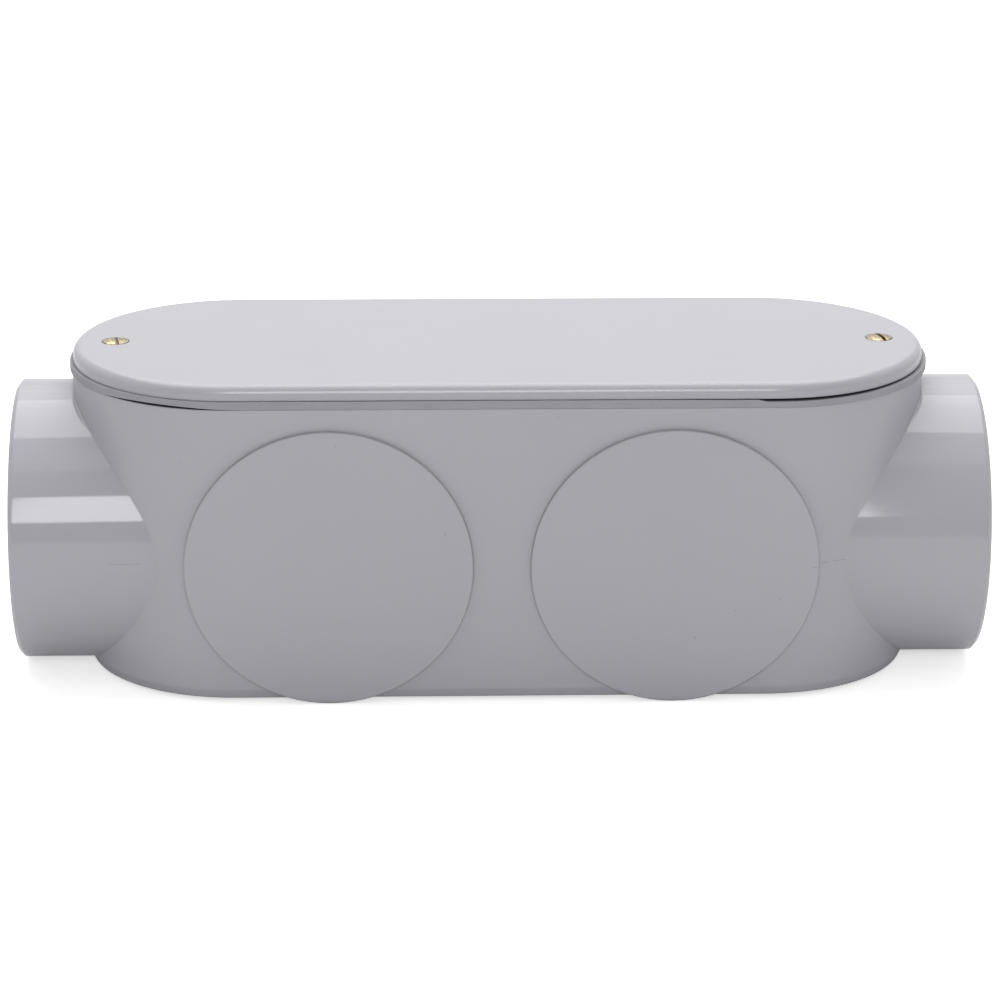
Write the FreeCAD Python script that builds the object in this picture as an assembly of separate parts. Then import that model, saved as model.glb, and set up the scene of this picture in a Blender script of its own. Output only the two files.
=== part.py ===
import FreeCAD, Part
import math
import os
from FreeCAD import Vector

os.makedirs("parts", exist_ok=True)

# Straight-through conduit body for 4-inch rigid plastic conduit: a moulded housing with two hubs
# in line, a screwed cover over its long opening, and a gasket between them.
# X runs along the conduit, the cover faces +Z, and the blank hub pads face -Y.
# The origin is the middle of the flat base. All sizes are in millimetres.

# Hubs and the sockets inside them
overall_length = 435.0        # over the open faces of the two hubs
socket_radius = 57.3          # takes 114.3 mm conduit
socket_depth = 44.5           # from the hub's face to the stop
socket_chamfer = 1.5          # lead-in at the mouth
hub_wall = 6.2                # round the socket
hub_lift = 0.5                # the hubs' lowest line stands this far above the base
hub_edge = 1.8                # bevel round the outer edge of a hub's face
stop_lip = 6.3                # height of the ring that the conduit stops against
stop_width = 9.0              # its length

# Housing: a long round-ended box, drafted so that it widens towards the cover
end_setback = 98.75           # from a hub's face to the centre of the round end behind it
side_margin = 6.5             # the base is this much wider than a hub, on each side
flare = 3.2                   # and the rim this much wider again
rim_over_hub = 9.6            # from the hubs' top line to the rim
wall = 5.0                    # side and end walls
floor = 5.5                   # bottom of the housing
foot_rounding = 6.0           # outside, round the base, made as two bevels
floor_edge = 4.0              # bevel inside, round the floor

# Blank hub pads on the -Y side, one hub's outline each
pad_spacing = 152.4
pad_stand = 2.1               # how far the face stands off the wall

# Screws, their brass inserts and the bosses that hold them
screw_inset = 18.95           # from the cover's end to the screw behind it
screw_shank_radius = 3.1
screw_length = 19.0           # from the flush of the head to the tip
screw_head_radius = 6.1
screw_crown = 1.2             # rise of the head's top above the cover
screw_crown_radius = 3.4      # flat in the middle of that top
screw_slot_width = 1.5
screw_slot_depth = 1.7
slot_angles = {-1: 103.0, 1: 112.0}   # from X, as the left and right screws happen to be done up
countersink_angle = 82.0
head_gap = 0.3                # round the head in its countersink
shank_gap = 0.5               # round the shank in the cover and the gasket
thread_gap = 0.35             # round the shank in its insert
insert_wall = 1.25
insert_length = 12.6
insert_seat_gap = 0.1         # round the insert in its boss
insert_drop = 0.2             # top of the insert below the rim
boss_wall = 3.2               # round the insert
boss_web = 7.0                # thickness of the web from a boss to the end wall

# Gasket and cover
gasket_thickness = 3.2
gasket_proud = 1.4            # stands this far out of the rim
gasket_width = 6.5
gasket_tab = 5.4              # width of the ring round each screw's hole
seam_gap = 0.3                # under and over the gasket
cover_inset = 0.6             # the cover stops this far inside the rim
cover_thickness = 6.7
cover_edge_radius = 4.2       # rounding of the top edge
cover_plate = 4.3             # thickness over the hollow underside
cover_skirt = 6.5             # width of the solid edge
cover_boss_wall = 2.6         # round the head of each screw
rib_width = 2.4
rib_drop = 0.5                # ribs stop this far above the cover's lower face
rib_bays = 4                  # bays along the straight part of the cover

# Values that follow from those above
X_DIR = Vector(1, 0, 0)
Z_DIR = Vector(0, 0, 1)
sides = (("left", -1), ("right", 1))
hub_radius = socket_radius + hub_wall
stop_radius = socket_radius - stop_lip
hub_centre_z = hub_radius + hub_lift
half_length = overall_length / 2
stop_x = half_length - socket_depth
collar_x = stop_x - stop_width
end_centre_x = half_length - end_setback
base_radius = hub_radius + side_margin
rim_radius = base_radius + flare
rim_height = hub_centre_z + hub_radius + rim_over_hub
draft = math.atan2(flare, rim_height)
pad_radius = hub_radius
gasket_z = rim_height + seam_gap
gasket_radius = rim_radius + gasket_proud
cover_z = gasket_z + gasket_thickness + seam_gap
cover_top_z = cover_z + cover_thickness
cover_radius = rim_radius - cover_inset
cone_slope = math.tan(math.radians(countersink_angle / 2))
screw_x = end_centre_x + cover_radius - screw_inset
countersink_radius = screw_head_radius + head_gap
shank_hole_radius = screw_shank_radius + shank_gap
insert_bore_radius = screw_shank_radius + thread_gap
insert_radius = insert_bore_radius + insert_wall
insert_hole_radius = insert_radius + insert_seat_gap
boss_radius = insert_hole_radius + boss_wall


def half_cone(side, low_radius, high_radius, low_z, high_z):
    """One round end: a half cone about a vertical axis, on the outer side of its centre."""
    height = high_z - low_z
    cone = Part.makeCone(low_radius, high_radius, height, Vector(), Z_DIR, 180)
    cone.rotate(Vector(), Z_DIR, -90 * side)
    cone.translate(Vector(side * end_centre_x, 0, low_z))
    return cone


def straight_block(radius, low_z, high_z):
    """A block with parallel sides and round ends, its walls upright."""
    near = [Vector(x, -radius, low_z) for x in (-end_centre_x, end_centre_x)]
    far = [Vector(x, radius, low_z) for x in (end_centre_x, -end_centre_x)]
    right = Vector(end_centre_x + radius, 0, low_z)
    left = Vector(-end_centre_x - radius, 0, low_z)
    outline = Part.Wire([
        Part.makeLine(near[0], near[1]),
        Part.Arc(near[1], right, far[0]).toShape(),
        Part.makeLine(far[0], far[1]),
        Part.Arc(far[1], left, near[0]).toShape(),
    ])
    return Part.Face(outline).extrude(Vector(0, 0, high_z - low_z))


def drafted_block(low_radius, high_radius, low_z, high_z):
    """The same block with leaning walls: its half width changes evenly with height."""
    corners = [
        Vector(-end_centre_x, -low_radius, low_z),
        Vector(-end_centre_x, low_radius, low_z),
        Vector(-end_centre_x, high_radius, high_z),
        Vector(-end_centre_x, -high_radius, high_z),
    ]
    section = Part.Face(Part.makePolygon(corners + corners[:1]))
    middle = section.extrude(Vector(2 * end_centre_x, 0, 0))
    ends = [half_cone(side, low_radius, high_radius, low_z, high_z) for _, side in sides]
    return middle.fuse(ends).removeSplitter()


def edges_at_height(shape, z):
    """The edges of a shape that lie wholly in the horizontal plane at height z."""
    found = []
    for edge in shape.Edges:
        box = edge.BoundBox
        if abs(box.ZMin - z) < 1e-4 and abs(box.ZMax - z) < 1e-4:
            found.append(edge)
    return found


def outer_radius_at(z):
    """Half width of the housing's outside at height z."""
    return base_radius + z * math.tan(draft)


def outer_block():
    """The housing's drafted outside. Two bevels round its foot: they meet where the quarter
    circle of the rounding is at 45 degrees."""
    knee = foot_rounding * (1 - math.sqrt(0.5))
    heights = [0, knee, foot_rounding, rim_height]
    insets = [foot_rounding, knee, 0, 0]
    radii = [outer_radius_at(z) - inset for z, inset in zip(heights, insets)]
    levels = list(zip(radii, heights))
    blocks = [drafted_block(low[0], high[0], low[1], high[1])
              for low, high in zip(levels, levels[1:])]
    return blocks[0].fuse(blocks[1:]).removeSplitter()


def tube_along_x(side, radius, near_x, far_x):
    """A cylinder on the conduit's axis, from near_x to far_x on one side of the middle."""
    start = Vector(side * near_x, 0, hub_centre_z)
    return Part.makeCylinder(radius, far_x - near_x, start, X_DIR * side)


def make_hub(side):
    """A solid hub, from inside the round end to the open face, with its outer edge bevelled."""
    hub = tube_along_x(side, hub_radius, end_centre_x, half_length)
    rims = [e for e in hub.Edges if abs(e.BoundBox.XMin - side * half_length) < 1e-4]
    return hub.makeChamfer(hub_edge, rims)


def make_pad(side):
    """A blank hub pad: a shallow disc whose face lies parallel to the drafted wall."""
    wall_radius = outer_radius_at(hub_centre_z)
    beyond = max(0, pad_spacing / 2 + pad_radius - end_centre_x)
    falls_away = wall_radius - math.sqrt(wall_radius ** 2 - beyond ** 2)
    root = wall_radius - wall - falls_away
    depth = wall + falls_away + pad_stand
    pad = Part.makeCylinder(pad_radius, depth, Vector(), Vector(0, -1, 0))
    pad.rotate(Vector(), X_DIR, math.degrees(draft))
    pad.translate(Vector(side * pad_spacing / 2, -root, hub_centre_z))
    return pad


def make_boss(side):
    """A screw boss and its web, from the rim down into the top of the socket's tube."""
    foot = hub_centre_z + socket_radius - wall
    height = rim_height - foot
    boss = Part.makeCylinder(boss_radius, height, Vector(side * screw_x, 0, foot))
    reach = end_centre_x + rim_radius - wall / 2 - screw_x
    web = Part.makeBox(reach, boss_web, height, Vector(0, -boss_web / 2, 0))
    if side < 0:
        web.translate(Vector(-reach, 0, 0))
    web.translate(Vector(side * screw_x, 0, foot))
    return boss.fuse(web)


def make_socket(side):
    """What is cut from a hub: the socket with its lead-in, the narrower way past the stop, and
    the wider way behind it that opens into the chamber."""
    socket = tube_along_x(side, socket_radius, stop_x, half_length)
    way = tube_along_x(side, stop_radius, end_centre_x, stop_x)
    behind = tube_along_x(side, socket_radius, end_centre_x, collar_x)
    mouth = Vector(side * (half_length - socket_chamfer), 0, hub_centre_z)
    lead_in = Part.makeCone(socket_radius, socket_radius + socket_chamfer, socket_chamfer,
                            mouth, X_DIR * side)
    return socket.fuse([way, behind, lead_in])


def make_insert_hole(side):
    """The hole in a boss that the brass insert stands in, closed at the bottom."""
    foot = rim_height - insert_drop - insert_length
    height = insert_length + insert_drop
    return Part.makeCylinder(insert_hole_radius, height, Vector(side * screw_x, 0, foot))


def make_housing():
    """The moulded housing, one piece with its hubs, pads, stops and screw bosses."""
    outside = outer_block()
    hubs = [make_hub(side) for _, side in sides]
    pads = [make_pad(side) for _, side in sides]
    outside = outside.fuse(hubs + pads).removeSplitter()

    floor_radius = outer_radius_at(floor) - wall
    hollow = drafted_block(floor_radius, rim_radius - wall, floor, rim_height)
    hollow = hollow.makeChamfer(floor_edge, edges_at_height(hollow, floor))
    collars = [tube_along_x(side, hub_radius, collar_x, half_length - socket_depth / 2)
               for _, side in sides]
    bosses = [make_boss(side) for _, side in sides]
    fittings = collars[0].fuse(collars[1:] + bosses)
    hollow = hollow.cut(fittings)

    cuts = [hollow]
    cuts += [make_socket(side) for _, side in sides]
    cuts += [make_insert_hole(side) for _, side in sides]
    return outside.cut(cuts)


def make_gasket():
    """A flat die-cut ring under the cover's edge, with a tab and a hole at each screw."""
    inner = gasket_radius - gasket_width
    tab_radius = shank_hole_radius + gasket_tab
    top = gasket_z + gasket_thickness
    sheet = straight_block(gasket_radius, gasket_z, top)
    window = straight_block(inner, gasket_z, top)
    tabs = []
    holes = []
    for _, side in sides:
        foot = Vector(side * screw_x, 0, gasket_z)
        tab = Part.makeCylinder(tab_radius, gasket_thickness, foot)
        reach = end_centre_x + inner + gasket_width / 2 - screw_x
        neck = Part.makeBox(reach, 2 * tab_radius, gasket_thickness)
        neck.translate(Vector(0 if side > 0 else -reach, -tab_radius, 0))
        neck.translate(foot)
        tabs += [tab, neck]
        holes.append(Part.makeCylinder(shank_hole_radius, gasket_thickness, foot))
    window = window.cut(tabs)
    return sheet.cut([window] + holes)


def make_countersunk_hole(side):
    """The way through the cover for a screw: a plain hole with a cone for the head above it."""
    depth = (countersink_radius - shank_hole_radius) / cone_slope
    hole = Part.makeCylinder(shank_hole_radius, cover_thickness, Vector(side * screw_x, 0, cover_z))
    cone = Part.makeCone(shank_hole_radius, countersink_radius, depth,
                         Vector(side * screw_x, 0, cover_top_z - depth))
    return hole.fuse(cone)


def make_cover_ribs():
    """A rib along the middle of the underside, and ribs across it at even spaces."""
    height = cover_thickness - cover_plate - rib_drop
    foot = cover_z + rib_drop
    reach = cover_radius - cover_skirt / 2
    ribs = [Part.makeBox(2 * screw_x, rib_width, height, Vector(-screw_x, -rib_width / 2, foot))]
    pitch = 2 * end_centre_x / rib_bays
    for i in range(rib_bays + 1):
        x = -end_centre_x + i * pitch
        ribs.append(Part.makeBox(rib_width, 2 * reach, height,
                                 Vector(x - rib_width / 2, -reach, foot)))
    return ribs


def make_cover():
    """The moulded cover: a plate with a rounded top edge and a ribbed, hollow underside."""
    plate = straight_block(cover_radius, cover_z, cover_top_z)
    plate = plate.makeFillet(cover_edge_radius, edges_at_height(plate, cover_top_z))
    inner = cover_radius - cover_skirt
    hollow = straight_block(inner, cover_z, cover_top_z - cover_plate)
    boss = countersink_radius + cover_boss_wall
    solid_parts = make_cover_ribs()
    for _, side in sides:
        foot = Vector(side * screw_x, 0, cover_z)
        solid_parts.append(Part.makeCylinder(boss, cover_thickness, foot))
    hollow = hollow.cut(solid_parts)
    holes = [make_countersunk_hole(side) for _, side in sides]
    return plate.cut([hollow] + holes)


def make_screw(side):
    """A countersunk screw with a raised, slotted head, seated in the cover."""
    cone_z = cover_top_z - (screw_head_radius - screw_shank_radius) / cone_slope
    tip_z = cover_top_z - screw_length
    crown_z = cover_top_z + screw_crown
    profile = [
        Vector(0, 0, crown_z),
        Vector(screw_crown_radius, 0, crown_z),
        Vector(screw_head_radius, 0, cover_top_z),
        Vector(screw_shank_radius, 0, cone_z),
        Vector(screw_shank_radius, 0, tip_z),
        Vector(0, 0, tip_z),
    ]
    outline = Part.makePolygon(profile + profile[:1])
    screw = Part.Face(outline).revolve(Vector(), Z_DIR, 360)
    slot = Part.makeBox(3 * screw_head_radius, screw_slot_width, screw_slot_depth)
    slot.translate(Vector(-1.5 * screw_head_radius, -screw_slot_width / 2,
                          crown_z - screw_slot_depth))
    slot.rotate(Vector(), Z_DIR, slot_angles[side])
    screw = screw.cut(slot)
    screw.translate(Vector(side * screw_x, 0, 0))
    return screw


def make_insert(side):
    """A brass insert that holds one screw: a plain collar, its knurl too fine to model."""
    collar = Part.makeCylinder(insert_radius, insert_length)
    insert = collar.cut(Part.makeCylinder(insert_bore_radius, insert_length))
    insert.translate(Vector(side * screw_x, 0, rim_height - insert_drop - insert_length))
    return insert


def only_solid(shape):
    """The one solid that a boolean result holds."""
    if len(shape.Solids) != 1:
        raise ValueError("expected one solid, found %d" % len(shape.Solids))
    return shape.Solids[0]


def main():
    pieces = {"housing": make_housing(), "gasket": make_gasket(), "cover": make_cover()}
    for word, side in sides:
        pieces["insert_" + word] = make_insert(side)
        pieces["screw_" + word] = make_screw(side)
    for name, shape in pieces.items():
        solid = only_solid(shape)
        solid.exportStep("parts/" + name + ".step")
        print(name, "valid", solid.isValid(), "volume cm3 %.2f" % (solid.Volume / 1000))


main()
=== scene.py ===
"""The looks of a grey rigid plastic conduit body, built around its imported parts.

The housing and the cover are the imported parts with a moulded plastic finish. The gasket, the two
brass screws and their two inserts are finer pieces that stand for the plain packed ones. All
lengths are in metres, with the conduit's axis along X and the front of the part towards -Y.
"""

import bmesh
import bpy
import numpy as np
from mathutils import Matrix, Vector


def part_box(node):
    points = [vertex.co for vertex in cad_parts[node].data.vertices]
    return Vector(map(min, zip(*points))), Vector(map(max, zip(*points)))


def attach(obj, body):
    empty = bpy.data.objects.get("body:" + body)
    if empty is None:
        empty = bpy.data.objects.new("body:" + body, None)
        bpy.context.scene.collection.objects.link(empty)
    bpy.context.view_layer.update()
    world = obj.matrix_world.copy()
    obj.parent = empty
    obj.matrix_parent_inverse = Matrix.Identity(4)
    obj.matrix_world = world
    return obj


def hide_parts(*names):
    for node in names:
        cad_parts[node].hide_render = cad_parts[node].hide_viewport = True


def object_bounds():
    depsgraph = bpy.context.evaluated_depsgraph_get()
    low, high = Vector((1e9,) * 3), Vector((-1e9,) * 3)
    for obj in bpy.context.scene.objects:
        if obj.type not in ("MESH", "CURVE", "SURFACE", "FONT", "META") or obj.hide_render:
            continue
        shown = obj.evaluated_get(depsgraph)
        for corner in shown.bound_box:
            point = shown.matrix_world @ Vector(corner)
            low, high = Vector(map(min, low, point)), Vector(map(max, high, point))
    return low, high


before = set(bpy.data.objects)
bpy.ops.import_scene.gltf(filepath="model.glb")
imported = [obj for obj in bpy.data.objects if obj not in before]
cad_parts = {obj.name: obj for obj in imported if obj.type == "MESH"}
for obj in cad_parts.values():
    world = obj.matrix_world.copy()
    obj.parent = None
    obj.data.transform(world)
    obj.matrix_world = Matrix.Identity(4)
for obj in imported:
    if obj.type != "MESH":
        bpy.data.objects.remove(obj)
cad_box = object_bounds()
MM = 0.001


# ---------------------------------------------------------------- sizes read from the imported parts

AXIS_HEIGHT = 64.0 * MM         # of the conduit's axis above the housing's foot
HUB_RADIUS = 63.5 * MM          # outside


def node_box(name):
    """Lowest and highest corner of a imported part, as numpy arrays."""
    low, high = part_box(name)
    return np.array(low), np.array(high)


cover_low, cover_high = node_box("cover")
_, gasket_high = node_box("gasket")
housing_low, housing_high = node_box("housing")
screw_low, screw_high = node_box("screw_right")
gasket_radius = gasket_high[1]
end_centre_x = gasket_high[0] - gasket_radius
screw_x = (screw_low[0] + screw_high[0]) / 2
axis_z = housing_low[2] + AXIS_HEIGHT
rim_z = housing_high[2]
cover_foot_z = cover_low[2]
cover_top_z = cover_high[2]


# ---------------------------------------------------------------- objects and meshes

def add_object(name, data):
    """An object at the origin that holds the data and is linked to the scene."""
    made = bpy.data.objects.new(name, data)
    bpy.context.scene.collection.objects.link(made)
    return made


def place_piece(name, mesh, body, stands_for):
    """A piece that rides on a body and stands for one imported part."""
    piece = add_object(name, mesh)
    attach(piece, body)
    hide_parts(stands_for)
    return piece


def make_piece(name, points, faces, material, body, stands_for, smooth_angle=40):
    """A piece from points and faces, shaded smooth but for edges sharper than smooth_angle."""
    mesh = bpy.data.meshes.new(name)
    mesh.from_pydata(np.asarray(points).reshape(-1, 3).tolist(), [], [list(f) for f in faces])
    mesh.materials.append(material)
    mesh.shade_smooth()
    mesh.set_sharp_from_angle(angle=np.radians(smooth_angle))
    return place_piece(name, mesh, body, stands_for)


def grid_faces(rows, columns, close_rows=False):
    """Quads of a grid of points, its last column joined to its first, and its last row to its
    first where close_rows is true."""
    i = np.arange(rows if close_rows else rows - 1)
    j = np.arange(columns)
    i, j = np.meshgrid(i, j, indexing="ij")
    i2 = (i + 1) % rows
    j2 = (j + 1) % columns
    quads = np.stack([i * columns + j, i2 * columns + j, i2 * columns + j2, i * columns + j2], -1)
    return quads.reshape(-1, 4)


def turned_grid(section, count):
    """The radius and the height at count angles round an axis, one row for each point (radius,
    height) of a section, and the angles."""
    angle = np.linspace(0, 2 * np.pi, count, endpoint=False)
    radius = np.repeat(section[:, :1], count, axis=1)
    height = np.repeat(section[:, 1:], count, axis=1)
    return radius, height, angle


def turned_points(centre_x, radius, angle, height):
    """Points at a radius and an angle round an upright axis at (centre_x, 0)."""
    return np.stack([centre_x + radius * np.cos(angle), radius * np.sin(angle), height], -1)


def ease(x, start, end):
    """0 before start, 1 after end, and smooth between them."""
    t = np.clip((x - start) / (end - start), 0, 1)
    return t * t * (3 - 2 * t)


# ---------------------------------------------------------------- node trees

BUMP_HEIGHT = 0.1 * MM
SHADE_SAMPLES = 4
MIX_INPUTS = (0, 6, 7)          # the share and the two colours of a colour mix
MIX_OUTPUT = 2


class Tree:
    """Builds a node tree. A value is a number, a colour or another node's output."""

    def __init__(self, tree):
        self.nodes = tree.nodes
        self.links = tree.links

    def feed(self, value, socket):
        """Links an output to a socket, or sets the socket to a fixed value."""
        if isinstance(value, bpy.types.NodeSocket):
            self.links.new(value, socket)
        else:
            socket.default_value = value

    def add(self, kind, *values, **named):
        """A node of one kind. A named value is a property of the node or else goes to the input
        of that name, and the other values go to its first inputs in order."""
        node = self.nodes.new(kind)
        for key, value in named.items():
            if hasattr(node, key):
                setattr(node, key, value)
            else:
                self.feed(value, node.inputs[key.replace("_", " ")])
        for value, socket in zip(values, node.inputs):
            self.feed(value, socket)
        return node

    def place(self):
        """The point's own object coordinates."""
        return self.add("ShaderNodeTexCoord").outputs["Object"]

    def math(self, operation, *values):
        """The result of a maths operation on up to three values."""
        return self.add("ShaderNodeMath", *values, operation=operation).outputs[0]

    def noise(self, place, scale, detail):
        """A smooth noise about 0.5, with scale waves or so to the metre."""
        node = self.add("ShaderNodeTexNoise", Vector=place, Scale=scale, Detail=detail)
        return node.outputs["Fac"]

    def ranged(self, value, source, target):
        """A value carried from one range to another, and held at the ends."""
        node = self.add("ShaderNodeMapRange", Value=value, From_Min=source[0], From_Max=source[1],
                        To_Min=target[0], To_Max=target[1])
        return node.outputs["Result"]

    def mix(self, share, first, second):
        """A colour between two, by a share from 0 to 1."""
        node = self.add("ShaderNodeMix", data_type="RGBA")
        for value, index in zip((share, first, second), MIX_INPUTS):
            self.feed(value, node.inputs[index])
        return node.outputs[MIX_OUTPUT]

    def bump(self, height, strength, **named):
        """A normal dented by a height."""
        node = self.add("ShaderNodeBump", Distance=BUMP_HEIGHT, Strength=strength, Height=height,
                        **named)
        return node.outputs["Normal"]


def new_group(name, inputs, outputs):
    """An empty group, its tree, what it is given and what it puts out. The inputs are numbers with
    their usual values, and the outputs are named with their kinds."""
    group = bpy.data.node_groups.new(name, "ShaderNodeTree")
    for label, value in inputs.items():
        socket = group.interface.new_socket(label, in_out="INPUT", socket_type="NodeSocketFloat")
        socket.default_value = value
    for label, kind in outputs.items():
        group.interface.new_socket(label, in_out="OUTPUT", socket_type="NodeSocket" + kind)
    tree = Tree(group)
    given = tree.add("NodeGroupInput").outputs
    out = tree.add("NodeGroupOutput").inputs
    return group, tree, given, out


def new_material(name):
    """An empty material, its tree and the socket that takes its shader."""
    material = bpy.data.materials.new(name)
    material.use_nodes = True
    material.node_tree.nodes.clear()
    tree = Tree(material.node_tree)
    return material, tree, tree.add("ShaderNodeOutputMaterial").inputs["Surface"]


def principled_material(name, **values):
    """A material of one Principled shader, its tree, the shader's inputs and the coordinates."""
    material, tree, surface = new_material(name)
    shader = tree.add("ShaderNodeBsdfPrincipled", **values)
    tree.feed(shader.outputs["BSDF"], surface)
    return material, tree, shader.inputs, tree.place()


# ---------------------------------------------------------------- shader groups

FLOW_STRETCH = (0.06, 1.0, 1.0)     # draws the flow marks out along X
FLOW_SCALE = 420.0
SPECK_PATCH_SCALE = 35.0
OPEN_RANGE = (0.10, 0.50)           # how much of the sky a place sees, from closed to open


def moulded_surface_group():
    """Rounds the shading of crisp edges, and dents it with a fine moulded texture.

    The normal is averaged over Radius round each point. The bump is a fine noise on object
    coordinates, Grain across and Depth strong. Flow is a second noise, drawn out along the
    moulding.
    """
    group, tree, given, out = new_group(
        "moulded_surface", {"Radius": 1.0 * MM, "Grain": 0.9 * MM, "Depth": 0.02},
        {"Normal": "Vector", "Flow": "Float"})
    place = tree.place()
    bevel = tree.add("ShaderNodeBevel", samples=SHADE_SAMPLES, Radius=given["Radius"])
    grain = tree.noise(place, tree.math("DIVIDE", 1.0, given["Grain"]), 2.0)
    dented = tree.bump(grain, given["Depth"], Normal=bevel.outputs["Normal"])
    drawn_out = tree.add("ShaderNodeMapping", Vector=place, Scale=FLOW_STRETCH).outputs["Vector"]
    tree.feed(dented, out["Normal"])
    tree.feed(tree.noise(drawn_out, FLOW_SCALE, 3.0), out["Flow"])
    return group


def specks_group():
    """A mask of small scattered specks: one in each cell of a cell pattern where a noise allows.

    Cell is the spacing of the specks, Size their radius as a share of it, and Share how much of
    the surface may carry them.
    """
    group, tree, given, out = new_group(
        "specks", {"Cell": 10.0 * MM, "Size": 0.03, "Share": 0.4}, {"Mask": "Float"})
    place = tree.place()
    cells = tree.add("ShaderNodeTexVoronoi", feature="F1", Vector=place,
                     Scale=tree.math("DIVIDE", 1.0, given["Cell"]))
    inside = tree.math("LESS_THAN", cells.outputs["Distance"], given["Size"])
    patch = tree.noise(place, SPECK_PATCH_SCALE, 1.0)
    allowed = tree.math("LESS_THAN", patch, given["Share"])
    tree.feed(tree.math("MULTIPLY", inside, allowed), out["Mask"])
    return group


def painted_gap_shade_group():
    """How open a place is, for painted shade: 1 on an open surface, and down to Dark where other
    surfaces stand close round it, within Reach, as shade falls in a narrow seam or gap."""
    group, tree, given, out = new_group(
        "painted_gap_shade", {"Reach": 4.0 * MM, "Dark": 0.05}, {"Open": "Float"})
    # painted shade: ambient occlusion sets how far the colour is darkened in gaps and seams
    around = tree.add("ShaderNodeAmbientOcclusion", samples=SHADE_SAMPLES, Distance=given["Reach"])
    tree.feed(tree.ranged(around.outputs["AO"], OPEN_RANGE, (given["Dark"], 1.0)), out["Open"])
    return group


painted_gap_shade = painted_gap_shade_group()
moulded_surface = moulded_surface_group()
specks = specks_group()


def with_painted_gap_shade(tree, colour):
    """A colour darkened by painted shade where the surface lies in a narrow gap."""
    open_share = tree.add("ShaderNodeGroup", node_tree=painted_gap_shade).outputs["Open"]
    return tree.add("ShaderNodeVectorMath", colour, operation="SCALE", Scale=open_share).outputs[0]


# ---------------------------------------------------------------- materials

PLASTIC_GREY = (0.405, 0.400, 0.440, 1)
PLASTIC_PALE = (0.425, 0.421, 0.455, 1)
PLASTIC_DARK = (0.12, 0.115, 0.12, 1)
CLOUD_SCALE = 14.0
GRAIN_DEPTH = 0.01
FLOW_RANGE = (0.3, 0.7)
ROUGHNESS_DRIFT = 0.006             # by which the flow marks raise and lower the roughness
SPECKS = {"Cell": 9.0 * MM, "Size": 0.035, "Share": 0.42}
MARK_STRENGTH = 0.45                # how far a speck or line goes towards the dark colour

HUB_SKIN = 0.1 * MM                 # past the hubs' radius, so that their own surface counts
HUB_GLOSS_START = 30.0 * MM         # beyond the round ends' centres
HUB_ROUGHNESS = 0.25                # as a share of the walls'

PARTING_START = 18.0 * MM           # beyond the round ends' centres
PARTING_WANDER = 1.2 * MM
PARTING_WANDER_SCALE = 18.0
PARTING_EDGES = (0.05 * MM, 0.40 * MM)
PARTING_STRENGTH = 0.6
PARTING_BREAK_SCALE = 55.0
PARTING_BREAK_LEVEL = 0.56

RUBBER_GREY = (0.285, 0.285, 0.310, 1)
RUBBER_PALE = (0.350, 0.350, 0.378, 1)
RUBBER_ROUGHNESS = (0.5, 0.68)
RUBBER_BUMP = 0.3
RUBBER_CELL_SCALE = 1800.0
RUBBER_PATCH_SCALE = 60.0

BRASS_BUMP = 0.35
BRASS_PATCH_SCALE = 700.0
BRASS_SCRATCH_SCALE = 2600.0
BRASS_MOTTLE_RANGE = (0.36, 0.60)
BRASS_ROUGHNESS_DRIFT = (-0.08, 0.12)


def hub_gloss(tree, place):
    """What the roughness is multiplied by: HUB_ROUGHNESS beyond the round ends and within the
    hubs' radius of the conduit's axis, and 1 elsewhere."""
    x, y, z = tree.add("ShaderNodeSeparateXYZ", place).outputs
    across = tree.add("ShaderNodeCombineXYZ", y, tree.math("SUBTRACT", z, axis_z)).outputs[0]
    reach = tree.add("ShaderNodeVectorMath", across, operation="LENGTH").outputs["Value"]
    within = tree.math("LESS_THAN", reach, HUB_RADIUS + HUB_SKIN)
    out_x = tree.math("ABSOLUTE", x)
    beyond = tree.math("GREATER_THAN", out_x, end_centre_x + HUB_GLOSS_START)
    on_hub = tree.math("MULTIPLY", within, beyond)
    return tree.ranged(on_hub, (0.0, 1.0), (1.0, HUB_ROUGHNESS))


def parting_line(tree, place):
    """A mask of the broken line where the two halves of the mould met: a thin band that wanders
    about the axis's height, from the round ends outwards, and shows where a long noise is high."""
    x, _, z = tree.add("ShaderNodeSeparateXYZ", place).outputs
    height = tree.math("SUBTRACT", z, axis_z)
    wander = tree.noise(place, PARTING_WANDER_SCALE, 1.0)
    distance = tree.math("ABSOLUTE", tree.math("MULTIPLY_ADD", wander, PARTING_WANDER, height))
    thin = tree.ranged(distance, PARTING_EDGES, (PARTING_STRENGTH, 0.0))
    out_x = tree.math("ABSOLUTE", x)
    beyond = tree.math("GREATER_THAN", out_x, end_centre_x + PARTING_START)
    broken = tree.noise(place, PARTING_BREAK_SCALE, 2.0)
    shows = tree.math("GREATER_THAN", broken, PARTING_BREAK_LEVEL)
    return tree.math("MULTIPLY", tree.math("MULTIPLY", thin, beyond), shows)


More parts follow.
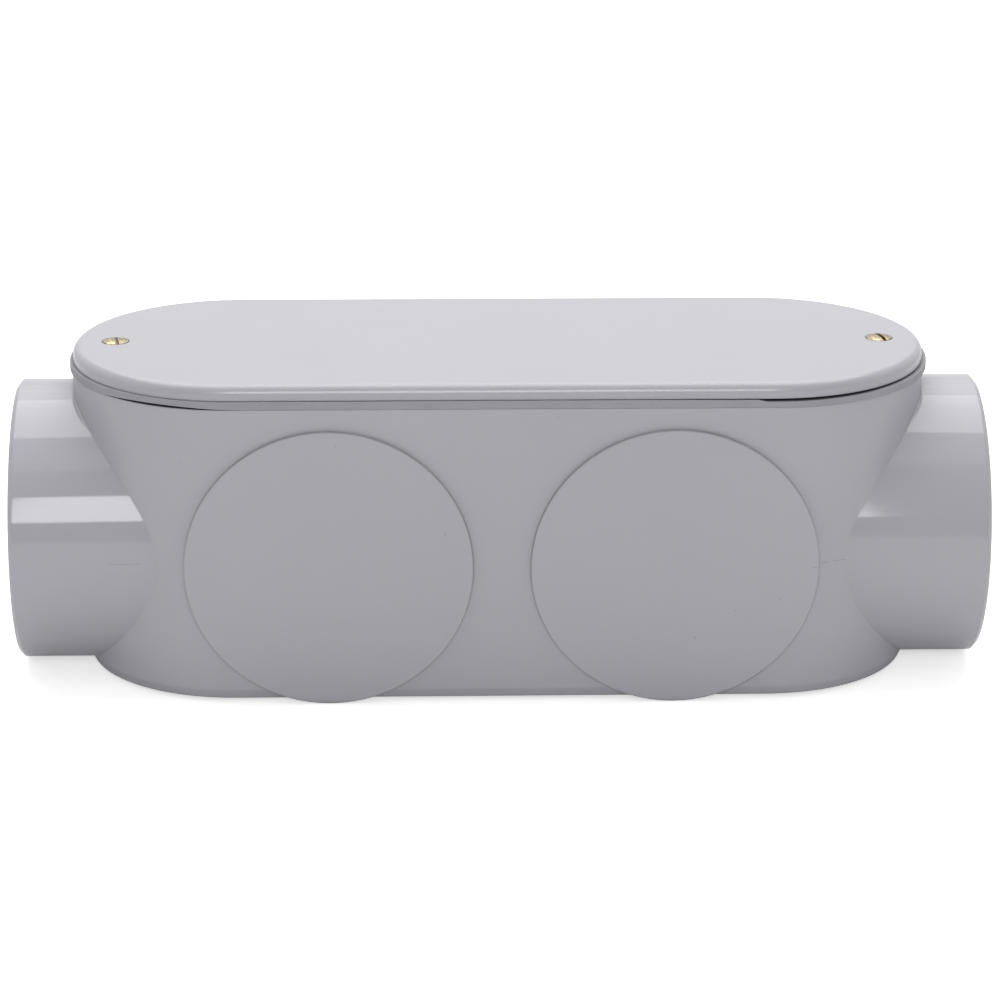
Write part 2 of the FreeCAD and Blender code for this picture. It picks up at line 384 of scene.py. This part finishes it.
def moulded_plastic(name, roughness, edge_radius, has_hubs):
    """Grey moulded plastic: a little cloudy in colour, finely textured, with a few dark specks.

    Where has_hubs is true, the hubs come out glossier than the walls, as from a turned mould, and
    a faint broken line runs along them at their middle height.
    """
    material, tree, shader, place = principled_material(name, IOR=1.5)
    surface = tree.add("ShaderNodeGroup", node_tree=moulded_surface, Radius=edge_radius,
                       Depth=GRAIN_DEPTH)
    marks = tree.add("ShaderNodeGroup", node_tree=specks, **SPECKS).outputs["Mask"]
    gloss = tree.ranged(surface.outputs["Flow"], FLOW_RANGE,
                        (roughness - ROUGHNESS_DRIFT, roughness + ROUGHNESS_DRIFT))
    if has_hubs:
        marks = tree.math("MAXIMUM", parting_line(tree, place), marks)
        gloss = tree.math("MULTIPLY", gloss, hub_gloss(tree, place))
    cloudy = tree.mix(tree.noise(place, CLOUD_SCALE, 3.0), PLASTIC_GREY, PLASTIC_PALE)
    marked = tree.mix(tree.math("MULTIPLY", marks, MARK_STRENGTH), cloudy, PLASTIC_DARK)
    # painted shade: the plastic's colour is darkened in narrow gaps and seams
    tree.feed(with_painted_gap_shade(tree, marked), shader["Base Color"])
    tree.feed(gloss, shader["Roughness"])
    tree.feed(surface.outputs["Normal"], shader["Normal"])
    return material


def foam_rubber():
    """Grey closed-cell gasket rubber: matt, with a fine cell texture."""
    material, tree, shader, place = principled_material("gasket_rubber", IOR=1.45)
    cells = tree.noise(place, RUBBER_CELL_SCALE, 3.0)
    patch = tree.noise(place, RUBBER_PATCH_SCALE, 2.0)
    # painted shade: the rubber's colour is darkened in narrow gaps beside the cover and the rim
    tree.feed(with_painted_gap_shade(tree, tree.mix(patch, RUBBER_GREY, RUBBER_PALE)), shader["Base Color"])
    tree.feed(tree.ranged(cells, (0.0, 1.0), RUBBER_ROUGHNESS), shader["Roughness"])
    tree.feed(tree.bump(cells, RUBBER_BUMP), shader["Normal"])
    return material


def brass(name, bright, dull, roughness):
    """Turned brass: warm, tarnished in patches, with fine scratches that catch the light."""
    material, tree, shader, place = principled_material(name, Metallic=1.0)
    patch = tree.noise(place, BRASS_PATCH_SCALE, 4.0)
    mottle = tree.ranged(patch, BRASS_MOTTLE_RANGE, (0.0, 1.0))
    rough_range = [roughness + drift for drift in BRASS_ROUGHNESS_DRIFT]
    scratch = tree.noise(place, BRASS_SCRATCH_SCALE, 2.0)
    tree.feed(tree.mix(mottle, bright, dull), shader["Base Color"])
    tree.feed(tree.ranged(patch, (0.0, 1.0), rough_range), shader["Roughness"])
    tree.feed(tree.bump(scratch, BRASS_BUMP), shader["Normal"])
    return material


housing_plastic = moulded_plastic("housing_plastic", 0.26, 1.1 * MM, True)
cover_plastic = moulded_plastic("cover_plastic", 0.22, 0.8 * MM, False)
gasket_rubber = foam_rubber()
screw_brass = brass("screw_brass", (0.54, 0.45, 0.29, 1), (0.20, 0.155, 0.10, 1), 0.28)
insert_brass = brass("insert_brass", (0.78, 0.58, 0.30, 1), (0.50, 0.36, 0.18, 1), 0.35)

for node_name, finish in (("housing", housing_plastic), ("cover", cover_plastic)):
    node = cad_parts[node_name]
    node.data.materials.clear()
    node.data.materials.append(finish)


# ---------------------------------------------------------------- gasket

GASKET_WIDTH = 6.5 * MM
TAB_RADIUS = 9.0 * MM
TAB_HOLE = 3.6 * MM
ARC_POINTS = 90                     # on each half circle of the outer outline
RUN_POINTS = 120                    # on each straight run
FLUSH_INSET = 1.2 * MM              # how far the edge is drawn in along the front
BACK_INSET = 0.5                    # share of that along the back
LEFT_OUT = 0.55                     # share of it that is given back at the left end
LEFT_TURNS = (0.010, 0.055)         # beyond the left end's centre, where the edge comes out
RIGHT_TURNS = (-0.010, 0.045)       # beyond the right end's centre
EDGE_WAVE = 0.08 * MM               # unevenness of the edge
EDGE_ROUNDING = 0.2 * MM

TOUCH = 0.02 * MM                   # clearance where two faces meet
SLACK = 1.15 * MM                   # widest gap that is left by the gasket
RIPPLE = 0.03 * MM
HAIR = (0.09 * MM, 0.22 * MM)       # gap under the cover at the left, and its growth to the right
SIDE_BLEND = (0.0, 0.02)            # from the middle, where the front or the back begins
LIFT_STARTS = (-0.183, -0.155)      # X where the gasket leaves the rim
LIFT_ENDS = (-0.150, -0.113)        # X where it comes down to the rim again
DROP_STARTS = (0.1120, 0.1135)      # X where it leaves the cover
DROP_NARROWS = (0.150, 0.190)       # X where that gap grows narrower, and by how much
DROP_NARROWING = 0.55
HAIR_GROWS = (0.030, 0.112)
CLING = 0.8                         # how much of the hair's breadth closes where it is lifted


def arc(centre_x, radius, start, end, count):
    """Points round an arc about (centre_x, 0), between two angles in degrees, ends included."""
    angle = np.radians(np.linspace(start, end, count))
    return np.stack([centre_x + radius * np.cos(angle), radius * np.sin(angle)], -1)


def line(start, end, count):
    """Points along a straight line, without its two ends."""
    share = np.linspace(0, 1, count + 2)[1:-1, None]
    return np.array(start) + share * (np.array(end) - np.array(start))


def closed_by_runs(right, left):
    """A closed outline of two ends, joined by straight runs along the back and the front."""
    back = line(right[-1], left[0], RUN_POINTS)
    front = line(left[-1], right[0], RUN_POINTS)
    return np.vstack([right, back, left, front])


def outer_outline():
    """The gasket's outer edge before it is drawn in: half circles about the ends' centres."""
    right = arc(end_centre_x, gasket_radius, -90, 90, ARC_POINTS)
    left = arc(-end_centre_x, gasket_radius, 90, 270, ARC_POINTS)
    return closed_by_runs(right, left)


def inner_outline():
    """The gasket's inner edge: an arc at each end that runs in to a round tab about the screw,
    along two straight lines as far apart as the tab is wide."""
    radius = gasket_radius - GASKET_WIDTH
    meet = np.degrees(np.arcsin(TAB_RADIUS / radius))
    up = arc(end_centre_x, radius, meet, 90, 44)
    low = up[::-1] * (1, -1)
    half = arc(screw_x, TAB_RADIUS, 270, 90, 24)
    run_in = line((up[0][0], -TAB_RADIUS), half[0], 6)
    run_out = line(half[-1], (up[0][0], TAB_RADIUS), 6)
    right = np.vstack([low, run_in, half, run_out, up])
    return closed_by_runs(right, (right * (-1, 1))[::-1])


def set_in(outline):
    """An outline drawn in towards the rim by an uneven amount: the gasket is flush with the wall
    along the front, half way out at the left end, and fully out at the right end. Two sines of X
    add a slight wave."""
    x, y = outline[:, 0], outline[:, 1]
    left = ease(-x - end_centre_x, *LEFT_TURNS)
    right = ease(x - end_centre_x, *RIGHT_TURNS)
    behind = ease(y, *SIDE_BLEND)
    amount = FLUSH_INSET * (1 - LEFT_OUT * left - right) * (1 - (1 - BACK_INSET) * behind)
    amount += EDGE_WAVE * np.sin(x * 95) * np.sin(x * 41 + 1)
    centre = np.stack([np.clip(x, -end_centre_x, end_centre_x), np.zeros_like(x)], -1)
    outward = (outline - centre) / gasket_radius
    return outline - outward * np.maximum(amount, 0)[:, None]


def gasket_heights(x, y):
    """Heights of the gasket's lower and upper faces. It clings to the cover at the left front and
    is pressed thinner there, it lies on the rim at the right front, and elsewhere it fills the
    space but for a hair's breadth under the cover. A sine of X ripples both faces."""
    front = ease(-y, *SIDE_BLEND)
    lifted = (1 - ease(x, *LIFT_ENDS)) * ease(x, *LIFT_STARTS) * front
    laid = ease(x, *DROP_STARTS) * (1 - DROP_NARROWING * ease(x, *DROP_NARROWS)) * front
    hair = HAIR[0] + HAIR[1] * ease(x, *HAIR_GROWS) * front
    ripple = RIPPLE * np.sin(x * 160 + 2 * np.sin(x * 43))
    low = rim_z + TOUCH + SLACK * lifted + np.abs(ripple) * (1 - lifted)
    gap = (hair + ripple) * (1 - laid) * (1 - CLING * lifted)
    high = cover_foot_z - TOUCH - SLACK * laid - gap
    return low, np.minimum(high, low + cover_foot_z - rim_z)


def ordered_mesh(name, source):
    """A mesh with the shape of a bmesh. Each face starts at its lowest vertex and the faces are
    sorted, so that they come in the same order each time."""
    source.verts.index_update()
    faces = []
    for face in source.faces:
        corners = [v.index for v in face.verts]
        first = corners.index(min(corners))
        faces.append(corners[first:] + corners[:first])
    mesh = bpy.data.meshes.new(name)
    mesh.from_pydata([tuple(v.co) for v in source.verts], [], sorted(faces))
    return mesh


def make_gasket():
    """A flat ring with two screw tabs, its outlines filled to a sheet and the sheet extruded."""
    loops = [set_in(outer_outline()), inner_outline()]
    loops += [arc(side * screw_x, TAB_HOLE, 0, 360, 41)[:-1] for side in (-1, 1)]
    ring = bmesh.new()
    for loop in loops:
        corners = [ring.verts.new((x, y, 0)) for x, y in loop]
        for a, b in zip(corners, corners[1:] + corners[:1]):
            ring.edges.new((a, b))
    bmesh.ops.triangle_fill(ring, use_beauty=True, edges=ring.edges[:])
    made = bmesh.ops.extrude_face_region(ring, geom=ring.faces[:])
    upper = {v for v in made["geom"] if isinstance(v, bmesh.types.BMVert)}
    for v in ring.verts:
        low, high = gasket_heights(v.co.x, v.co.y)
        v.co.z = high if v in upper else low
    bmesh.ops.recalc_face_normals(ring, faces=ring.faces[:])
    mesh = ordered_mesh("gasket_ring", ring)
    ring.free()
    mesh.materials.append(gasket_rubber)
    piece = place_piece("gasket_ring", mesh, "cover", "gasket")
    bevel = piece.modifiers.new("soft_edge", "BEVEL")
    bevel.width = EDGE_ROUNDING
    bevel.segments = 2
    bevel.limit_method = "ANGLE"
    bevel.angle_limit = np.radians(50)


make_gasket()


# ---------------------------------------------------------------- screws

HEAD_RADIUS = 5.8 * MM
HEAD_EDGE = 0.12 * MM               # upright edge between the dome and the cone
CROWN = 1.2 * MM                    # height of the domed head above the cover
CONE_ANGLE = 41.0                   # of the head's underside from upright, in degrees
SHANK_RADIUS = 3.08 * MM
SCREW_LENGTH = 19.0 * MM            # below the cover's top
TIP_CHAMFER = 0.7 * MM
SCREW_ROOT = 2.35 * MM              # radius at the bottom of the screw's thread
PITCH = 1.0 * MM
FLANK = 3.2                         # steepness of a thread's flanks, as rise per share of a turn
TIP_FADE = (0.5 * MM, 2.0 * MM)     # above the tip, where the thread begins
HEAD_FADE = (1.2 * MM, 2.2 * MM)    # below the head, where it ends

SCREWS = (("left", -1, 103.0), ("right", 1, 112.0))     # word, side and angle of the slot
SLOT_SIZE = (14.0 * MM, 1.8 * MM, 3.4 * MM)             # of the block that cuts it, half sunk in


def thread_radius(angle, height, minor, major):
    """Radius of a thread's surface: a ridge with a flat top that climbs one pitch in each turn."""
    phase = (height / PITCH - angle / (2 * np.pi)) % 1.0
    ridge = np.clip(FLANK * (0.5 - np.abs(phase - 0.5)), 0, 1)
    return minor + (major - minor) * ridge


def screw_surface(centre_x):
    """A screw as one surface of turn, with the middles of its top and its tip. Its section runs
    out over the dome, which is part of a ball, down a short edge, in along a cone, down the shank
    and in at the tip. Along the shank the radius is a thread's, fading to plain at both ends."""
    ball = (HEAD_RADIUS ** 2 + CROWN ** 2) / (2 * CROWN)
    turn = np.linspace(0, np.arcsin(HEAD_RADIUS / ball), 16)[1:]
    dome = np.stack([ball * np.sin(turn), CROWN - ball * (1 - np.cos(turn))], -1)
    cone_foot = -(HEAD_RADIUS - SHANK_RADIUS) / np.tan(np.radians(CONE_ANGLE))
    cone = np.array([(HEAD_RADIUS, -HEAD_EDGE), (SHANK_RADIUS, cone_foot)])
    shank_z = np.linspace(cone_foot - 0.1 * MM, -SCREW_LENGTH + TIP_CHAMFER, 150)
    shank = np.stack([np.full_like(shank_z, SHANK_RADIUS), shank_z], -1)
    tip = np.array([(SHANK_RADIUS - TIP_CHAMFER, -SCREW_LENGTH)])
    radius, height, angle = turned_grid(np.vstack([dome, cone, shank, tip]), 96)
    start = len(dome) + len(cone)
    rows = slice(start, start + len(shank))
    fade = ease(height[rows] + SCREW_LENGTH, *TIP_FADE) * ease(cone_foot - height[rows], *HEAD_FADE)
    cut = thread_radius(angle[None, :], height[rows], SCREW_ROOT, SHANK_RADIUS)
    radius[rows] = radius[rows] + (cut - radius[rows]) * fade
    points = turned_points(centre_x, radius, angle, cover_top_z + height)
    return points, (centre_x, 0, cover_top_z + CROWN), (centre_x, 0, cover_top_z - SCREW_LENGTH)


def capped(points, first, last):
    """The points of a grid closed round its columns, with a pole at each end, and its faces."""
    rows, columns = points.shape[:2]
    flat = np.vstack([points.reshape(-1, 3), [first, last]])
    faces = [tuple(f) for f in grid_faces(rows, columns)]
    pole = rows * columns
    base = (rows - 1) * columns
    pairs = [(i, (i + 1) % columns) for i in range(columns)]
    faces += [(pole, i, j) for i, j in pairs]
    faces += [(pole + 1, base + j, base + i) for i, j in pairs]
    return flat, faces


def cut_slot(piece, centre, turn):
    """Cuts a straight slot with a boolean and keeps the result as the piece's own mesh."""
    signs = np.array([(x, y, z) for x in (-1, 1) for y in (-1, 1) for z in (-1, 1)])
    quads = [(0, 1, 3, 2), (4, 6, 7, 5), (0, 4, 5, 1), (2, 3, 7, 6), (0, 2, 6, 4), (1, 5, 7, 3)]
    block = bpy.data.meshes.new("slot")
    block.from_pydata((signs * np.array(SLOT_SIZE) / 2).tolist(), [], quads)
    block.transform(Matrix.Translation(centre) @ Matrix.Rotation(turn, 4, "Z"))
    cutter = add_object("slot", block)
    cut = piece.modifiers.new("slot", "BOOLEAN")
    cut.operation = "DIFFERENCE"
    cut.object = cutter
    cut.solver = "EXACT"
    graph = bpy.context.evaluated_depsgraph_get()
    result = bpy.data.meshes.new_from_object(piece.evaluated_get(graph))
    piece.modifiers.clear()
    piece.data = result
    bpy.data.objects.remove(cutter)
    result.shade_smooth()
    result.set_sharp_from_angle(angle=np.radians(32))


for word, side, slot_angle in SCREWS:
    surface, top, bottom = screw_surface(side * screw_x)
    points, faces = capped(surface, top, bottom)
    name = "screw_" + word
    screw = make_piece(name + "_threaded", points, faces, screw_brass, name, name, 32)
    cut_slot(screw, Vector(top), np.radians(slot_angle))


# ---------------------------------------------------------------- inserts

INSERT_BORE = 3.45 * MM             # radius at the bottom of the insert's thread
INSERT_CREST = 3.16 * MM
INSERT_CHAMFER = 0.4 * MM
GROOVE_DEPTH = 0.8 * MM
GROOVE_HALF = (1.1 * MM, 1.3 * MM)  # from the middle, where the groove turns to knurl
KNURL_DEPTH = 0.3 * MM
KNURL_RIBS = 32
OUTSIDE_ROWS = 36
BORE_ROWS = 96


def insert_surface(low, high):
    """A knurled, grooved collar: its section runs up the outside, in over the top and down the
    threaded bore. Outside, the radius is less by a cosine of the angle on the two knurled bands
    and by an even depth in the groove between them."""
    outer = (high[0] - low[0]) / 2
    foot, top = low[2], high[2]
    lip = INSERT_BORE + 0.5 * INSERT_CHAMFER
    rim = outer - INSERT_CHAMFER
    rise = np.linspace(foot + INSERT_CHAMFER, top - INSERT_CHAMFER, OUTSIDE_ROWS)
    fall = np.linspace(top - 0.5 * INSERT_CHAMFER, foot + 0.5 * INSERT_CHAMFER, BORE_ROWS)
    outside = np.stack([np.full_like(rise, outer), rise], -1)
    inside = np.stack([np.full_like(fall, INSERT_BORE), fall], -1)
    over = np.array([(rim, top), (lip, top)])
    under = np.array([(lip, foot), (rim, foot)])
    radius, height, angle = turned_grid(np.vstack([outside, over, inside, under]), 192)
    outside_rows = slice(0, OUTSIDE_ROWS)
    start = OUTSIDE_ROWS + len(over)
    bore_rows = slice(start, start + BORE_ROWS)
    band = ease(np.abs(height[outside_rows] - (foot + top) / 2), *GROOVE_HALF)
    knurl = KNURL_DEPTH * (0.5 - 0.5 * np.cos(KNURL_RIBS * angle))[None, :]
    radius[outside_rows] -= band * knurl + (1 - band) * GROOVE_DEPTH
    radius[bore_rows] = thread_radius(angle[None, :], height[bore_rows], INSERT_CREST, INSERT_BORE)
    return turned_points((low[0] + high[0]) / 2, radius, angle, height)


for word, _, _ in SCREWS:
    name = "insert_" + word
    surface = insert_surface(*node_box(name))
    faces = grid_faces(*surface.shape[:2], close_rows=True)[:, ::-1]
    make_piece(name + "_knurled", surface, faces, insert_brass, "housing", name)


# ---------------------------------------------------------------- floor, wall and lights

FLOOR_HALF = 5.0
FLOOR_COLOUR = (0.80, 0.80, 0.80, 1)
FLOOR_GLOW = 0.60                   # added where a camera looks at the floor
FLOOR_MIRRORED = 0.10               # added where the object mirrors it
WALL_Y = -2.9
WALL_TOP = 4.5
WALL_SHADE = 0.18
WORLD_FILL = 0.72                   # the even light on the object from all round

OVERHEAD = {"centre": (0, 0.65, 1.8), "width": 2.4, "height": 1.58, "radiance": 2.6}
FRONT = {"centre": (-0.02, -2.25, 1.11), "width": 0.98, "height": 0.96, "radiance": 7.3}
REAR_Y = 2.3
REAR_WIDTH = 2.6
REAR_LAMPS = (                      # name, lower edge, upper edge, radiance
    ("rear_low_softbox", 0.10, 0.96, 0.12),
    ("rear_middle_softbox", 0.96, 1.46, 0.45),
    ("rear_high_softbox", 1.46, 2.06, 0.90),
    ("rear_top_softbox", 2.06, 2.84, 1.25),
)


def seen_strength(tree, seen, mirrored, unseen):
    """A strength that is seen for a camera's rays, mirrored for rays that a surface reflects or
    lets through, and unseen for all others, which are the ones that light the object."""
    paths = tree.add("ShaderNodeLightPath").outputs
    mirror = tree.math("MAXIMUM", paths["Is Glossy Ray"], paths["Is Transmission Ray"])
    indirect = tree.math("MULTIPLY_ADD", mirror, mirrored - unseen, unseen)
    return tree.math("MULTIPLY_ADD", paths["Is Camera Ray"], seen - unseen, indirect)


def floor_material():
    """A matt floor that takes shadows, with an even glow added only where it is looked at."""
    material, tree, surface = new_material("floor_white")
    diffuse = tree.add("ShaderNodeBsdfDiffuse", Color=FLOOR_COLOUR)
    strength = seen_strength(tree, FLOOR_GLOW, FLOOR_MIRRORED, 0.0)
    glow = tree.add("ShaderNodeEmission", Strength=strength)
    both = tree.add("ShaderNodeAddShader", diffuse.outputs[0], glow.outputs[0])
    tree.feed(both.outputs[0], surface)
    return material


def wall_material():
    """A dim wall of the room that shows as plain background where a camera looks straight at it."""
    material, tree, surface = new_material("room_wall_shade")
    strength = seen_strength(tree, 1.0, WALL_SHADE, WALL_SHADE)
    glow = tree.add("ShaderNodeEmission", Strength=strength)
    tree.feed(glow.outputs[0], surface)
    return material


def make_sheet(name, corners, material):
    """A flat four-cornered sheet that belongs to the studio."""
    mesh = bpy.data.meshes.new(name)
    mesh.from_pydata(corners, [], [(0, 1, 2, 3)])
    mesh.materials.append(material)
    add_object(name, mesh)


def softbox(name, centre, width, height, radiance, target):
    """A rectangular lamp that faces a point. Its power follows from its area and its brightness."""
    data = bpy.data.lights.new(name, "AREA")
    data.shape = "RECTANGLE"
    data.size = width
    data.size_y = height
    data.energy = radiance * np.pi * width * height
    lamp = add_object(name, data)
    lamp.location = centre
    lamp.visible_camera = False
    lamp.rotation_euler = (Vector(target) - Vector(centre)).to_track_quat("-Z", "Y").to_euler()


def light_world():
    """White where it is looked at or mirrored, and dimmer as a light on the object."""
    world = bpy.data.worlds.new("studio")
    bpy.context.scene.world = world
    world.use_nodes = True
    world.node_tree.nodes.clear()
    tree = Tree(world.node_tree)
    strength = seen_strength(tree, 1.0, 1.0, WORLD_FILL)
    background = tree.add("ShaderNodeBackground", Strength=strength)
    tree.add("ShaderNodeOutputWorld", Surface=background.outputs[0])


floor_z = cad_box[0].z
make_sheet("floor", [(-FLOOR_HALF, -FLOOR_HALF, floor_z), (FLOOR_HALF, -FLOOR_HALF, floor_z),
                     (FLOOR_HALF, FLOOR_HALF, floor_z), (-FLOOR_HALF, FLOOR_HALF, floor_z)],
           floor_material())
make_sheet("room_wall", [(-FLOOR_HALF, WALL_Y, floor_z), (-FLOOR_HALF, WALL_Y, WALL_TOP),
                         (FLOOR_HALF, WALL_Y, WALL_TOP), (FLOOR_HALF, WALL_Y, floor_z)],
           wall_material())

softbox("overhead_softbox", **OVERHEAD, target=(0, 0.65, 0))
softbox("front_softbox", **FRONT, target=(-0.02, 0, 1.11))
for name, lower, upper, radiance in REAR_LAMPS:
    middle = (lower + upper) / 2
    softbox(name, (0, REAR_Y, middle), REAR_WIDTH, upper - lower, radiance, (0, 0, middle))
light_world()


# ---------------------------------------------------------------- camera

CAMERA_TURN = -1.633                # degrees round to the left of the front
CAMERA_LIFT = 18.654                # degrees above level
CAMERA_ROLL = 0.166
CAMERA_DISTANCE = 1.60236
CAMERA_AIM = (0.98 * MM, 0.0, 70.85 * MM)
SENSOR_WIDTH = 36.0                 # millimetres, as is the focal length
FOCAL_LENGTH = 125.8


def place_camera():
    """The camera looks down on the front of the part from a little to the left of its middle."""
    turn, lift, roll = np.radians([CAMERA_TURN, CAMERA_LIFT, CAMERA_ROLL])
    back = np.array([np.sin(turn) * np.cos(lift), -np.cos(turn) * np.cos(lift), np.sin(lift)])
    across = np.cross(-back, (0, 0, 1))
    across /= np.linalg.norm(across)
    up = np.cross(across, -back)
    right = np.cos(roll) * across + np.sin(roll) * up
    above = -np.sin(roll) * across + np.cos(roll) * up
    data = bpy.data.cameras.new("camera")
    data.sensor_width = SENSOR_WIDTH
    data.lens = FOCAL_LENGTH
    data.clip_start = 0.01
    data.clip_end = 100
    camera = add_object("camera", data)
    turned = Matrix((right, above, back)).transposed().to_4x4()
    spot = np.array(CAMERA_AIM) + back * CAMERA_DISTANCE
    camera.matrix_world = Matrix.Translation(spot) @ turned
    bpy.context.scene.camera = camera


place_camera()
bpy.context.scene.view_settings.view_transform = "Standard"
